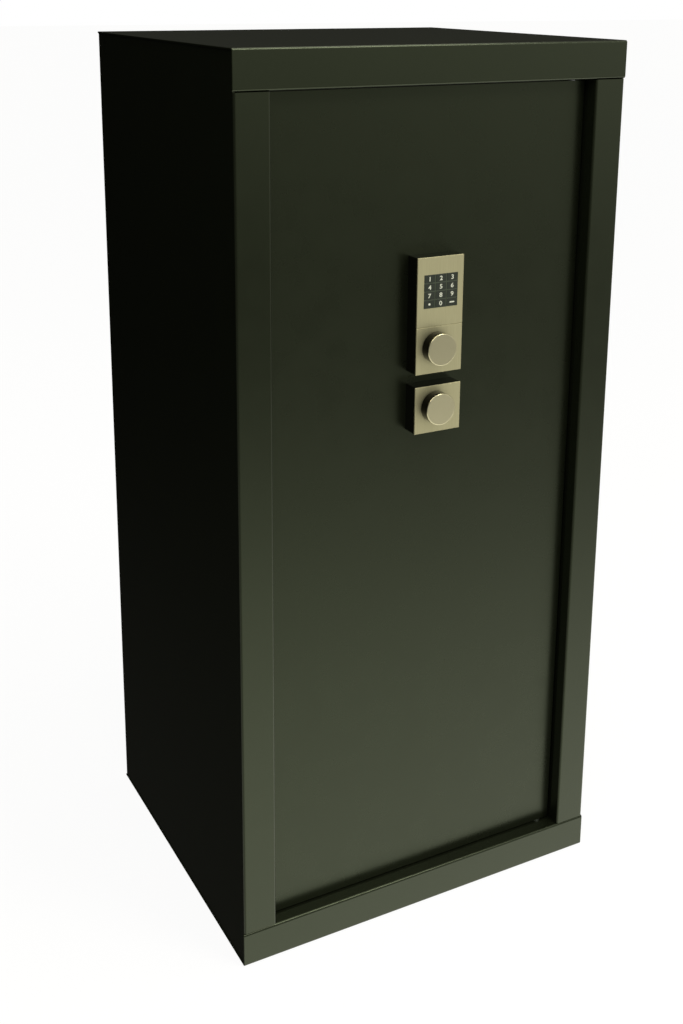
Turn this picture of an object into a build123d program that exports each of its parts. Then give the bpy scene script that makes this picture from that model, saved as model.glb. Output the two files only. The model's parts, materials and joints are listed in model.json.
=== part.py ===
"""Gun safe: folded steel body, inset door on a concealed pivot hinge, keypad lock and four-bolt boltwork.

Millimetres. The origin is the centre of the base on the floor. +X is to the right of somebody facing
the door, +Y runs from the door to the back, +Z is up. The door is shut and its bolts are drawn in.
"""
from build123d import *
import math
import os

os.makedirs("parts", exist_ok=True)

# Body
body_w = 650
body_d = 565
body_h = 1400
sheet = 3
bend_r = 0.5
cap_step = 1.5
rail_h = 57
opening_w = 540
jamb_depth = 50
jamb_return = 30
seam = 0.8
anchor_r = 6.5
floor_anchor_x = 400
floor_anchor_y = 300
wall_anchor_x = 400
wall_anchor_z = 900
wall_anchor_mid = 700

# Door
door_gap = 3
door_recess = 24
door_plate_t = 4
hinge_inset = 20
hinge_depth = 10.5
hinge_pin_r = 5
running_gap = 0.05

# Boltwork
box_left = -250
box_right = 236
box_bottom = 80
box_top = 1320
box_deep = 50
box_wall = 2.5
box_flange = 20
bolt_r = 10
bolt_count = 4
bolt_first = 190
bolt_pitch = 340
bolt_tip = -258
bolt_bush_wall = 2
carrier_t = 8

# Lock units on the door
unit_w = 79
unit_proud = 27
unit_wall = 3
faceplate_t = 2
upper_bottom = 919.6
upper_split = 991.4
upper_top = 1096.3
lower_bottom = 827.3
lower_top = 900.2
knob_x = -5
lock_knob_z = 959.6
bolt_knob_z = 867.5
knob_r = 24.5
knob_high = 18
knob_bevel = 1.3
hub_r = 10

# Keypad
pad_x = 0.7
pad_z = 1045
pad_w = 58
pad_h = 50.6
pad_bar = 0.84
key_play = 0.2
key_names = ["clear", "0", "enter", "7", "8", "9", "4", "5", "6", "1", "2", "3"]

# Places worked out from those sizes
front_y = -body_d / 2
back_y = body_d / 2
side_x = body_w / 2 - cap_step
opening_x = opening_w / 2
opening_top = body_h - rail_h
jamb_y = front_y + jamb_depth
face_y = front_y + door_recess
plate_back = face_y + door_plate_t
door_x = opening_x - door_gap
door_bottom = rail_h + door_gap
door_top = opening_top - door_gap
hinge_x = door_x - hinge_inset
hinge_y = face_y + hinge_depth
cover_y = plate_back + box_deep
bolt_y = jamb_y + bolt_r + 0.5
bolt_heights = [bolt_first + bolt_pitch * i for i in range(bolt_count)]
carrier_front = bolt_y - carrier_t / 2
carrier_back = bolt_y + carrier_t / 2
unit_front = face_y - unit_proud
wall_front = unit_front + faceplate_t


def block(x, y, z, mode=Mode.ADD):
    """Add or cut a box that runs between each pair of limits."""
    middle = (sum(x) / 2, sum(y) / 2, sum(z) / 2)
    with Locations(middle):
        Box(x[1] - x[0], y[1] - y[0], z[1] - z[0], mode=mode)


def rod(x, y, z, radius, mode=Mode.ADD):
    """Add or cut a cylinder along whichever of x, y, z is given as a pair of limits."""
    if isinstance(x, tuple):
        middle, length, turn = (sum(x) / 2, y, z), x[1] - x[0], (0, 90, 0)
    elif isinstance(y, tuple):
        middle, length, turn = (x, sum(y) / 2, z), y[1] - y[0], (90, 0, 0)
    else:
        middle, length, turn = (x, y, sum(z) / 2), z[1] - z[0], (0, 0, 0)
    with Locations(middle):
        Cylinder(radius, length, rotation=turn, mode=mode)


def folded_section(plane, points, thickness):
    """Cross-section of a folded sheet: outer face along the points, thickness to their left."""
    with BuildSketch(plane) as section:
        with BuildLine():
            FilletPolyline(*points, radius=thickness + bend_r)
            offset(amount=thickness, side=Side.LEFT)
        make_face()
    return section.sketch


def save(part, name):
    """Label a finished piece and write its STEP file."""
    part.label = name
    export_step(part, f"parts/{name}.step")


# ---------------------------------------------------------------- body shell

# Each side panel is the side wall, front stile, jamb and a stiffening return, folded from one sheet.
# A fine seam is left where the stile meets the rails.
stile_outline = [
    (-side_x, back_y - sheet),
    (-side_x, front_y),
    (-opening_x, front_y),
    (-opening_x, jamb_y),
    (-opening_x - jamb_return, jamb_y),
]
with BuildPart() as left_side_panel:
    block((-side_x, -side_x + sheet), (front_y + sheet, back_y - sheet), (sheet, body_h - sheet))
    section = folded_section(Plane.XY.offset(rail_h + seam), stile_outline, sheet)
    extrude(section, amount=opening_top - rail_h - 2 * seam)
save(left_side_panel.part, "left_side_panel")

with BuildPart() as right_side_panel:
    mirror(left_side_panel.part, about=Plane.YZ)
save(right_side_panel.part, "right_side_panel")

# The top is a cap: roof, front rail, underside of the rail and an upturned return. It oversails the sides.
cap_outline = [
    (back_y, body_h),
    (front_y, body_h),
    (front_y, opening_top),
    (jamb_y, opening_top),
    (jamb_y, opening_top + jamb_return),
]
ledge_x = side_x - sheet - 0.5
with BuildPart() as top_panel:
    section = folded_section(Plane.YZ.offset(-body_w / 2), cap_outline, sheet)
    extrude(section, amount=body_w)
    for trim in [(-body_w / 2, -ledge_x), (ledge_x, body_w / 2)]:
        block(trim, (front_y + sheet, back_y), (opening_top - 1, body_h - sheet), mode=Mode.SUBTRACT)
    rod(hinge_x, hinge_y, (opening_top - 1, opening_top + sheet + 1), hinge_pin_r, mode=Mode.SUBTRACT)
    fillet(top_panel.edges().filter_by(Axis.Y).group_by(Axis.Z)[-1], radius=1)
save(top_panel.part, "top_panel")

# The base is the same cap turned over, with four holes for floor anchors.
with BuildPart() as base_panel:
    mirror(top_panel.part, about=Plane.XY.offset(body_h / 2))
    with Locations((0, 0, sheet)):
        with GridLocations(floor_anchor_x, floor_anchor_y, 2, 2):
            Hole(anchor_r, depth=sheet)
save(base_panel.part, "base_panel")

with BuildPart() as back_panel:
    block((-side_x, side_x), (back_y - sheet, back_y), (sheet, body_h - sheet))
    with Locations(Plane((0, back_y, wall_anchor_mid), x_dir=(-1, 0, 0), z_dir=(0, 1, 0))):
        with GridLocations(wall_anchor_x, wall_anchor_z, 2, 2):
            Hole(anchor_r, depth=sheet)
save(back_panel.part, "back_panel")

# ---------------------------------------------------------------- door stops, seal and hinge

stop_y = (plate_back + 3.5, plate_back + 11.5)
stop_w = 8
stop_h = 14
stop_end = hinge_x - 32
with BuildPart() as door_stops:
    block((-opening_x, -opening_x + stop_w), stop_y, (rail_h, opening_top))
    for z in [(rail_h, rail_h + stop_h), (opening_top - stop_h, opening_top)]:
        block((-opening_x + stop_w + 0.5, stop_end), stop_y, z)
save(door_stops.part, "door_stops")

seal_y = (plate_back + 0.3, plate_back + 3.5)
seal_h = 10
with BuildPart() as door_seal:
    block((-opening_x, -opening_x + stop_w), seal_y, (rail_h, opening_top))
    for z in [(rail_h, rail_h + seal_h), (opening_top - seal_h, opening_top)]:
        block((-opening_x + stop_w, stop_end), seal_y, z)
save(door_seal.part, "door_seal")

lug_t = 14
lug_half = 14
pin_reach = 20
lug_ends = [
    (rail_h - sheet - lug_t, rail_h - sheet),
    (opening_top + sheet, opening_top + sheet + lug_t),
]
with BuildPart() as hinge_lugs:
    for z in lug_ends:
        block((hinge_x - lug_half, hinge_x + lug_half), (hinge_y - lug_half, jamb_y - sheet - bend_r), z)
        rod(hinge_x, hinge_y, z, hinge_pin_r, mode=Mode.SUBTRACT)
save(hinge_lugs.part, "hinge_lugs")

pin_ends = [
    (lug_ends[0][0], door_bottom + pin_reach - 2),
    (door_top - pin_reach + 2, lug_ends[1][1]),
]
with BuildPart() as hinge_pins:
    for z in pin_ends:
        rod(hinge_x, hinge_y, z, hinge_pin_r)
    chamfer(hinge_pins.edges().filter_by(GeomType.CIRCLE), length=0.8)
save(hinge_pins.part, "hinge_pins")

washer_t = door_gap - 0.3
with BuildPart() as hinge_washers:
    for z in [(rail_h, rail_h + washer_t), (opening_top - washer_t, opening_top)]:
        rod(hinge_x, hinge_y, z, hinge_pin_r + 5)
        rod(hinge_x, hinge_y, z, hinge_pin_r, mode=Mode.SUBTRACT)
save(hinge_washers.part, "hinge_washers")

block_h = 40
block_ends = [
    (door_bottom, door_bottom + block_h, door_bottom + pin_reach),
    (door_top - block_h, door_top, door_top - pin_reach),
]
with BuildPart() as hinge_blocks:
    for low, high, bore_end in block_ends:
        block((box_right + 1, hinge_x + 16), (plate_back, hinge_y + 12), (low, high))
        bore = (low, bore_end) if bore_end < body_h / 2 else (bore_end, high)
        rod(hinge_x, hinge_y, bore, hinge_pin_r + running_gap, mode=Mode.SUBTRACT)
save(hinge_blocks.part, "hinge_blocks")

# ---------------------------------------------------------------- lining, shelf and barrel rest

liner_t = 6
liner_front = jamb_y + 5
inner_x = side_x - sheet
inner_back = back_y - sheet
clear_r = 20
with BuildPart() as wall_liners:
    liner_z = (sheet + liner_t, body_h - sheet - 1)
    for x in [(-inner_x, -inner_x + liner_t), (inner_x - liner_t, inner_x)]:
        block(x, (liner_front, inner_back - liner_t - 0.5), liner_z)
    block((-inner_x, inner_x), (inner_back - liner_t, inner_back), liner_z)
    with Locations(Plane((0, inner_back, wall_anchor_mid), x_dir=(-1, 0, 0), z_dir=(0, 1, 0))):
        with GridLocations(wall_anchor_x, wall_anchor_z, 2, 2):
            Hole(clear_r, depth=liner_t)
save(wall_liners.part, "wall_liners")

with BuildPart() as floor_mat:
    block((-inner_x, inner_x), (liner_front, inner_back), (sheet, sheet + liner_t))
    with Locations((0, 0, sheet + liner_t)):
        with GridLocations(floor_anchor_x, floor_anchor_y, 2, 2):
            Hole(clear_r, depth=liner_t)
save(floor_mat.part, "floor_mat")

shelf_z = 1064
shelf_t = 16
shelf_front = 60
shelf_x = inner_x - liner_t - 1
with BuildPart() as shelf:
    block((-shelf_x, shelf_x), (shelf_front, inner_back - liner_t - 1), (shelf_z, shelf_z + shelf_t))
    fillet(shelf.edges().filter_by(Axis.X), radius=2)
save(shelf.part, "shelf")

support_leg = 20
support_t = 2
support_y = (shelf_front + 10, 260)
with BuildPart() as shelf_supports:
    for side in [-1, 1]:
        wall = side * (inner_x - liner_t)
        edge = wall - side * support_leg
        skin = wall - side * support_t
        block(tuple(sorted((wall, edge))), support_y, (shelf_z - support_t, shelf_z))
        block(tuple(sorted((wall, skin))), support_y, (shelf_z - support_leg, shelf_z - support_t))
save(shelf_supports.part, "shelf_supports")

# A strip with round notches, in which barrels lean against the front of the shelf.
rest_deep = 40
notch_r = 17
notch_count = 7
notch_pitch = 84
rest_y = (shelf_front - rest_deep, shelf_front)
notch_y = shelf_front - rest_deep + 4
with BuildPart() as barrel_rest:
    with BuildSketch(Plane.XY.offset(shelf_z - 4)):
        with Locations((0, sum(rest_y) / 2)):
            Rectangle(2 * shelf_x, rest_deep)
        with Locations((0, notch_y)):
            with GridLocations(notch_pitch, 1, notch_count, 1):
                Circle(notch_r, mode=Mode.SUBTRACT)
        with Locations((0, rest_y[0])):
            with GridLocations(notch_pitch, 1, notch_count, 1):
                Rectangle(2 * notch_r, 8, mode=Mode.SUBTRACT)
    extrude(amount=shelf_t + 8)
save(barrel_rest.part, "barrel_rest")

# ---------------------------------------------------------------- door plate

lock_spindle_r = 4
bolt_spindle_r = 5
bush_wall = 3
screw_r = 2
upper_screws = [(x, z) for x in (-31, 31) for z in (1012, 1085)]
lower_screws = [(x, z) for x in (-31, 31) for z in (836, 892)]
cable_x = 26
cable_z = 1003
cable_r = 1.5
cable_bend_r = 10
cable_end_y = bolt_y - 3
spindles = [(lock_knob_z, lock_spindle_r), (bolt_knob_z, bolt_spindle_r)]
with BuildPart() as door_plate:
    block((-door_x, door_x), (face_y, plate_back), (door_bottom, door_top))
    fillet(door_plate.edges().filter_by(Axis.Z), radius=1.2)
    for z, spindle_r in spindles:
        rod(knob_x, (face_y, plate_back), z, spindle_r + running_gap + bush_wall, mode=Mode.SUBTRACT)
    for x, z in upper_screws + lower_screws:
        rod(x, (face_y, plate_back), z, screw_r, mode=Mode.SUBTRACT)
    rod(cable_x, (face_y, plate_back), cable_z, cable_r + 1, mode=Mode.SUBTRACT)
save(door_plate.part, "door_plate")

with BuildPart() as spindle_bushes:
    for z, spindle_r in spindles:
        bore_r = spindle_r + running_gap
        rod(knob_x, (face_y - 2, plate_back + 2), z, bore_r + bush_wall)
        rod(knob_x, (face_y - 2, face_y), z, bore_r + bush_wall + 2)
        rod(knob_x, (face_y - 2, plate_back + 2), z, bore_r, mode=Mode.SUBTRACT)
save(spindle_bushes.part, "spindle_bushes")

# ---------------------------------------------------------------- boltwork box behind the door plate

left_channel = [
    (box_left + box_flange, cover_y),
    (box_left, cover_y),
    (box_left, plate_back),
    (box_left + box_flange, plate_back),
]
right_channel = [
    (box_right - box_flange, plate_back),
    (box_right, plate_back),
    (box_right, cover_y),
    (box_right - box_flange, cover_y),
]
with BuildPart() as boltwork_sides:
    for outline in [left_channel, right_channel]:
        section = folded_section(Plane.XY.offset(box_bottom), outline, box_wall)
        extrude(section, amount=box_top - box_bottom)
    for z in bolt_heights:
        rod((box_left, box_left + box_wall), bolt_y, z, bolt_r + bolt_bush_wall, mode=Mode.SUBTRACT)
        rod((box_right - box_wall, box_right), bolt_y, z, bolt_r, mode=Mode.SUBTRACT)
save(boltwork_sides.part, "boltwork_sides")

rail_x = (box_left + box_flange, box_right - box_flange)
with BuildPart() as boltwork_rails:
    low = [
        (plate_back, box_bottom + box_flange),
        (plate_back, box_bottom),
        (cover_y, box_bottom),
        (cover_y, box_bottom + box_flange),
    ]
    high = [
        (cover_y, box_top - box_flange),
        (cover_y, box_top),
        (plate_back, box_top),
        (plate_back, box_top - box_flange),
    ]
    web_x = (box_left + box_wall, box_right - box_wall)
    web_y = (plate_back + box_wall + bend_r, cover_y - box_wall - bend_r)
    for outline, web_z in [
        (low, (box_bottom, box_bottom + box_wall)),
        (high, (box_top - box_wall, box_top)),
    ]:
        extrude(folded_section(Plane.YZ.offset(rail_x[0]), outline, box_wall), amount=rail_x[1] - rail_x[0])
        block(web_x, web_y, web_z)
save(boltwork_rails.part, "boltwork_rails")

cover_x = (box_left - 2, box_right + 2)
cover_z = (box_bottom - 2, box_top + 2)
cover_t = 1.5
cover_screw_pitch = 305
cover_screw_z = [box_bottom + 10 + cover_screw_pitch * i for i in range(5)]
cover_screws_at = [(x, z) for x in (box_left + 10, box_right - 10) for z in cover_screw_z]
with BuildPart() as inner_cover:
    block(cover_x, (cover_y, cover_y + cover_t), cover_z)
    fillet(inner_cover.edges().filter_by(Axis.Y), radius=6)
    for x, z in cover_screws_at:
        rod(x, (cover_y, cover_y + cover_t), z, screw_r, mode=Mode.SUBTRACT)
save(inner_cover.part, "inner_cover")

head_r = 4
head_t = 2.4
with BuildPart() as cover_screws:
    for x, z in cover_screws_at:
        rod(x, (cover_y, cover_y + cover_t), z, screw_r)
        rod(x, (cover_y + cover_t, cover_y + cover_t + head_t), z, head_r)
    fillet(cover_screws.faces().sort_by(Axis.Y)[-len(cover_screws_at):].edges(), radius=1)
    with BuildSketch(Plane((0, cover_y + cover_t + head_t, 0), x_dir=(-1, 0, 0), z_dir=(0, 1, 0))):
        with Locations(*[(-x, z) for x, z in cover_screws_at]):
            RegularPolygon(1.4, 6)
    extrude(amount=-1.3, mode=Mode.SUBTRACT)
save(cover_screws.part, "cover_screws")

# Fixed bolts on the hinge side hook behind the right jamb when the door is shut.
dog_tip = 283
dog_x = (box_right - box_wall - 12, dog_tip)
with BuildPart() as hinge_side_bolts:
    for z in bolt_heights:
        rod(dog_x, bolt_y, z, bolt_r)
    chamfer(hinge_side_bolts.faces().sort_by(Axis.X)[-bolt_count:].edges(), length=2)
save(hinge_side_bolts.part, "hinge_side_bolts")

bolt_bush_x = (box_left, box_left + 14)
collar_x = (box_left + box_wall, box_left + box_wall + 3)
with BuildPart() as bolt_bushes:
    for z in bolt_heights:
        rod(bolt_bush_x, bolt_y, z, bolt_r + bolt_bush_wall)
        rod(collar_x, bolt_y, z, bolt_r + 2 * bolt_bush_wall)
        rod(bolt_bush_x, bolt_y, z, bolt_r + running_gap, mode=Mode.SUBTRACT)
save(bolt_bushes.part, "bolt_bushes")

# ---------------------------------------------------------------- moving bolts and their carrier


def involute_flank(base_r, tip_r, half_angle):
    """Points up one flank of a gear tooth centred on +X: the involute of the base circle."""
    steps = 6
    last = math.sqrt((tip_r / base_r) ** 2 - 1)
    rolls = [last * i / steps for i in range(steps + 1)]
    radii = [base_r * math.sqrt(1 + t * t) for t in rolls]
    angles = [half_angle - (t - math.atan(t)) for t in rolls]
    return [(r * math.cos(a), r * math.sin(a)) for r, a in zip(radii, angles)]


def pinion_section(plane, module, teeth, start_angle):
    """Stub-tooth 20 degree pinion, with one tooth centred at the start angle."""
    pressure = math.radians(20)
    pitch_r = module * teeth / 2
    base_r = pitch_r * math.cos(pressure)
    tip_r = pitch_r + 0.8 * module
    root_r = pitch_r - module
    half_angle = math.pi / (2 * teeth) - 0.05 * module / pitch_r + math.tan(pressure) - pressure
    upper = involute_flank(base_r, tip_r, half_angle)
    lower = [(x, -y) for x, y in upper]
    foot = (0.8 * root_r * math.cos(half_angle), 0.8 * root_r * math.sin(half_angle))
    with BuildSketch(plane) as section:
        Circle(root_r)
        with PolarLocations(0, teeth, start_angle=start_angle):
            with BuildSketch(mode=Mode.PRIVATE) as tooth:
                with BuildLine():
                    Line(foot, upper[0])
                    Spline(*upper)
                    Line(upper[-1], lower[-1])
                    Spline(*reversed(lower))
                    Line(lower[0], (foot[0], -foot[1]))
                    Line((foot[0], -foot[1]), foot)
                make_face()
            add(tooth.sketch)
    return section.sketch


def rack_tooth(module):
    """Corners of one straight-sided rack tooth, its pitch line on y = 0 and its tip at +y."""
    slope = math.tan(math.radians(20))
    half = math.pi * module / 4 - 0.05 * module
    root = (half + slope * module, -module)
    tip = (half - slope * 0.8 * module, 0.8 * module)
    return [(-root[0], root[1]), root, tip, (-tip[0], tip[1])]


drive_module = 2
drive_teeth = 14
drive_pitch_r = drive_module * drive_teeth / 2
rack_pitch_z = bolt_knob_z - drive_pitch_r
rack_root_z = rack_pitch_z - drive_module
carrier_x = (-200, -176)
arm_end = 95
interlock_z = (885, 890)
tab_x = (16.1, 24.9)
tab_top = 902.5
arm_h = 13
bar_past_bolt = 25
pin_x = carrier_x[0] + 8
pin_y = (bolt_y - bolt_r, bolt_y + bolt_r)
pin_r = 2.5
carrier_y = (carrier_front, carrier_back)
with BuildPart() as bolt_carrier:
    block(carrier_x, carrier_y, (bolt_heights[0] - bar_past_bolt, bolt_heights[-1] + bar_past_bolt))
    block((carrier_x[1], arm_end), carrier_y, (rack_root_z - arm_h, rack_root_z))
    block((carrier_x[1], tab_x[1]), carrier_y, interlock_z)
    block(tab_x, carrier_y, (interlock_z[0], tab_top))
    rack_plane = Plane((0, carrier_back, rack_pitch_z), x_dir=(1, 0, 0), z_dir=(0, -1, 0))
    with BuildSketch(rack_plane):
        for i in range(-3, 7):
            tooth_x = knob_x + (i + 0.5) * math.pi * drive_module
            with BuildLine():
                Polyline(*[(tooth_x + x, y) for x, y in rack_tooth(drive_module)], close=True)
            make_face()
    extrude(amount=carrier_t)
    for z in bolt_heights:
        rod(pin_x, carrier_y, z, pin_r, mode=Mode.SUBTRACT)
save(bolt_carrier.part, "bolt_carrier")

bolt_end = carrier_x[0] + 15
with BuildPart() as locking_bolts:
    for z in bolt_heights:
        rod((bolt_tip, bolt_end), bolt_y, z, bolt_r)
    chamfer(locking_bolts.faces().sort_by(Axis.X)[:bolt_count].edges(), length=2.5)
    slot_x = (carrier_x[0], bolt_end)
    for z in bolt_heights:
        block(slot_x, carrier_y, (z - bolt_r, z + bolt_r), mode=Mode.SUBTRACT)
        rod(pin_x, pin_y, z, pin_r, mode=Mode.SUBTRACT)
save(locking_bolts.part, "locking_bolts")

with BuildPart() as bolt_pins:
    for z in bolt_heights:
        rod(pin_x, pin_y, z, pin_r)
save(bolt_pins.part, "bolt_pins")

# The rack arm slides through a guide that is welded to the door plate.
guide_play = 0.3
guide_wall = 6
guide_x = (55, 70)
with BuildPart() as carrier_guide:
    block(
        guide_x,
        (plate_back, carrier_back + guide_wall),
        (rack_root_z - arm_h - guide_wall, rack_root_z + guide_wall),
    )
    block(
        guide_x,
        (carrier_front - guide_play, carrier_back + guide_play),
        (rack_root_z - arm_h - guide_play, rack_root_z + guide_play),
        mode=Mode.SUBTRACT,
    )
save(carrier_guide.part, "carrier_guide")

# ---------------------------------------------------------------- knobs and spindles


def knob(z, spindle_r):
    """A plain round knob with a bevelled front and a hub that reaches into the housing."""
    front = unit_front - knob_high
    back = unit_front - 0.4
    with BuildPart() as turned:
        with BuildSketch(Plane((knob_x, 0, z), x_dir=(1, 0, 0), z_dir=(0, 0, 1))):
            with BuildLine():
                Polyline(
                    (0, front),
                    (knob_r - knob_bevel, front),
                    (knob_r, front + knob_bevel),
                    (knob_r, back - 1),
                    (knob_r - 1, back),
                    (hub_r, back),
                    (hub_r, face_y - 6),
                    (0, face_y - 6),
                    close=True,
                )
            make_face()
        revolve(axis=Axis((knob_x, 0, z), (0, 1, 0)))
        rod(knob_x, (front + 6, face_y - 6), z, spindle_r, mode=Mode.SUBTRACT)
    return turned.part


save(knob(lock_knob_z, lock_spindle_r), "lock_knob")
save(knob(bolt_knob_z, bolt_spindle_r), "bolt_knob")

lock_module = 1
lock_teeth = 16
lock_pitch_r = lock_module * lock_teeth / 2
with BuildPart() as lock_spindle:
    rod(knob_x, (unit_front - knob_high + 6, carrier_back + 1), lock_knob_z, lock_spindle_r)
    gear_plane = Plane((knob_x, carrier_back, lock_knob_z), x_dir=(1, 0, 0), z_dir=(0, -1, 0))
    extrude(pinion_section(gear_plane, lock_module, lock_teeth, 0), amount=carrier_t)
save(lock_spindle.part, "lock_spindle")

with BuildPart() as drive_pinion:
    rod(knob_x, (unit_front - knob_high + 6, carrier_back + 4), bolt_knob_z, bolt_spindle_r)
    gear_plane = Plane((knob_x, carrier_back, bolt_knob_z), x_dir=(1, 0, 0), z_dir=(0, -1, 0))
    extrude(pinion_section(gear_plane, drive_module, drive_teeth, -90), amount=carrier_t)
save(drive_pinion.part, "drive_pinion")

# ---------------------------------------------------------------- lock case behind the door

case_x = (-30, 60)
case_z = (905, 990)
case_wall = 2
case_floor = 3
case_back = carrier_back + 6
lock_pitch_x = knob_x + lock_pitch_r
lock_bolt_x = (lock_pitch_x + lock_module + 0.1, 15)
lock_bolt_z = (904.5, 980)
slot_play = 0.3
plunger_r = 2.5
plunger_z = 935
lock_throw = math.pi / 2 * lock_pitch_r
with BuildPart() as lock_case:
    block(case_x, (plate_back, case_back), case_z)
    block(
        (case_x[0] + case_wall, case_x[1] - case_wall),
        (plate_back + case_floor, case_back),
        (case_z[0] + case_wall, case_z[1] - case_wall),
        mode=Mode.SUBTRACT,
    )
    block(
        (lock_bolt_x[0] - slot_play, lock_bolt_x[1] + slot_play),
        (carrier_front - slot_play, carrier_back + slot_play),
        (case_z[0], case_z[0] + case_wall),
        mode=Mode.SUBTRACT,
    )
    floor_y = (plate_back, plate_back + case_floor)
    rod(knob_x, floor_y, lock_knob_z, lock_spindle_r + running_gap + bush_wall, mode=Mode.SUBTRACT)
    rod(cable_x, cable_end_y, (case_z[1] - case_wall, case_z[1]), cable_r + 0.5, mode=Mode.SUBTRACT)
save(lock_case.part, "lock_case")

with BuildPart() as lock_case_cover:
    block(case_x, (case_back, case_back + 2), case_z)
    fillet(lock_case_cover.edges().filter_by(Axis.Y), radius=3)
save(lock_case_cover.part, "lock_case_cover")

# The lock bolt has a rack on its left edge and two notches for the solenoid's plunger on its right.
with BuildPart() as lock_bolt:
    block(lock_bolt_x, (carrier_front, carrier_back), lock_bolt_z)
    rack_plane = Plane((lock_pitch_x, carrier_back, lock_knob_z), x_dir=(0, 0, 1), z_dir=(0, -1, 0))
    with BuildSketch(rack_plane):
        for i in range(-2, 6):
            tooth_z = (i + 0.5) * math.pi * lock_module
            with BuildLine():
                Polyline(*[(tooth_z + x, y) for x, y in rack_tooth(lock_module)], close=True)
            make_face()
    extrude(amount=carrier_t)
    block(
        (lock_pitch_x + lock_module, lock_bolt_x[0]),
        (carrier_front, carrier_back),
        (lock_knob_z - 2 * math.pi, lock_knob_z + 6 * math.pi),
    )
    for z in [plunger_z, plunger_z + lock_throw]:
        block(
            (lock_bolt_x[1] - 5, lock_bolt_x[1]),
            (carrier_front, carrier_back),
            (z - plunger_r - slot_play, z + plunger_r + slot_play),
            mode=Mode.SUBTRACT,
        )
save(lock_bolt.part, "lock_bolt")

coil_x = (22, 50)
coil_r = 9
cable_end_z = plunger_z + 13
with BuildPart() as lock_solenoid:
    rod(coil_x, bolt_y, plunger_z, coil_r)
    foot_x = (coil_x[0] + 1, coil_x[1] - 1)
    block(foot_x, (plate_back + case_floor, bolt_y), (plunger_z - coil_r, plunger_z + coil_r))
    block((cable_x - 4, cable_x + 4), (bolt_y - 6, bolt_y), (plunger_z + 6, cable_end_z))
    rod((coil_x[0], coil_x[1] - 5), bolt_y, plunger_z, plunger_r + running_gap, mode=Mode.SUBTRACT)
save(lock_solenoid.part, "lock_solenoid")

with BuildPart() as solenoid_plunger:
    rod((lock_bolt_x[1] + 1, coil_x[0] + 18), bolt_y, plunger_z, plunger_r)
    chamfer(solenoid_plunger.faces().sort_by(Axis.X)[0].edges(), length=0.5)
save(solenoid_plunger.part, "solenoid_plunger")

# ---------------------------------------------------------------- housings and faceplates on the door


front_wall = 2.5
boss_h = 12
boss_r = 3.5
rib = 1.5
board_y = (unit_front + 6.5, unit_front + 8.1)
board_rib_x = (-28, 28)


def housing(z0, z1, knob_z, screws, window):
    """An open-backed cast box with a knob hole, an optional keypad window and four screw bosses."""
    half = unit_w / 2
    inside = wall_front + front_wall
    with BuildPart() as cast:
        block((-half, half), (wall_front, face_y), (z0, z1))
        fillet(cast.edges().filter_by(Axis.Y), radius=1.5)
        block(
            (-half + unit_wall, half - unit_wall),
            (inside, face_y),
            (z0 + unit_wall, z1 - unit_wall),
            mode=Mode.SUBTRACT,
        )
        for x, z in screws:
            rod(x, (face_y - boss_h, face_y), z, boss_r)
            bridge_x = tuple(sorted((math.copysign(half - unit_wall, x), x)))
            block(bridge_x, (face_y - boss_h, face_y), (z - rib, z + rib))
            rod(x, (face_y - boss_h + 2, face_y), z, screw_r, mode=Mode.SUBTRACT)
        rod(knob_x, (wall_front, inside), knob_z, hub_r + 1, mode=Mode.SUBTRACT)
        if window:
            window_x = (pad_x - pad_w / 2 - 1, pad_x + pad_w / 2 + 1)
            window_z = (pad_z - pad_h / 2 - 1, pad_z + pad_h / 2 + 1)
            block(window_x, (wall_front, inside), window_z, mode=Mode.SUBTRACT)
            for z in (pad_z - pad_h / 2 - 4, pad_z + pad_h / 2 + 4):
                block(board_rib_x, (inside, board_y[0]), (z - rib, z + rib))
    return cast.part


save(housing(upper_bottom, upper_top, lock_knob_z, upper_screws, True), "upper_housing")
save(housing(lower_bottom, lower_top, bolt_knob_z, lower_screws, False), "lower_housing")


def faceplate(z0, z1):
    """A faceplate blank with slightly eased corners."""
    half = unit_w / 2
    with BuildPart() as blank:
        block((-half, half), (unit_front, wall_front), (z0, z1))
        fillet(blank.edges().filter_by(Axis.Y), radius=1)
        chamfer(blank.faces().sort_by(Axis.Y)[0].edges(), length=0.4)
    return blank.part


split = 0.2
with BuildPart() as keypad_faceplate:
    add(faceplate(upper_split + split, upper_top))
    window_x = (pad_x - pad_w / 2, pad_x + pad_w / 2)
    block(window_x, (unit_front, wall_front), (pad_z - pad_h / 2, pad_z + pad_h / 2), mode=Mode.SUBTRACT)
save(keypad_faceplate.part, "keypad_faceplate")

with BuildPart() as lock_faceplate:
    add(faceplate(upper_bottom, upper_split - split))
    rod(knob_x, (unit_front, wall_front), lock_knob_z, hub_r + 1, mode=Mode.SUBTRACT)
save(lock_faceplate.part, "lock_faceplate")

with BuildPart() as bolt_faceplate:
    add(faceplate(lower_bottom, lower_top))
    rod(knob_x, (unit_front, wall_front), bolt_knob_z, hub_r + 1, mode=Mode.SUBTRACT)
save(bolt_faceplate.part, "bolt_faceplate")

with BuildPart() as housing_screws:
    for x, z in upper_screws + lower_screws:
        rod(x, (face_y - boss_h + 3, plate_back), z, screw_r)
        rod(x, (plate_back, plate_back + head_t), z, head_r)
save(housing_screws.part, "housing_screws")

# ---------------------------------------------------------------- keypad

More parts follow.
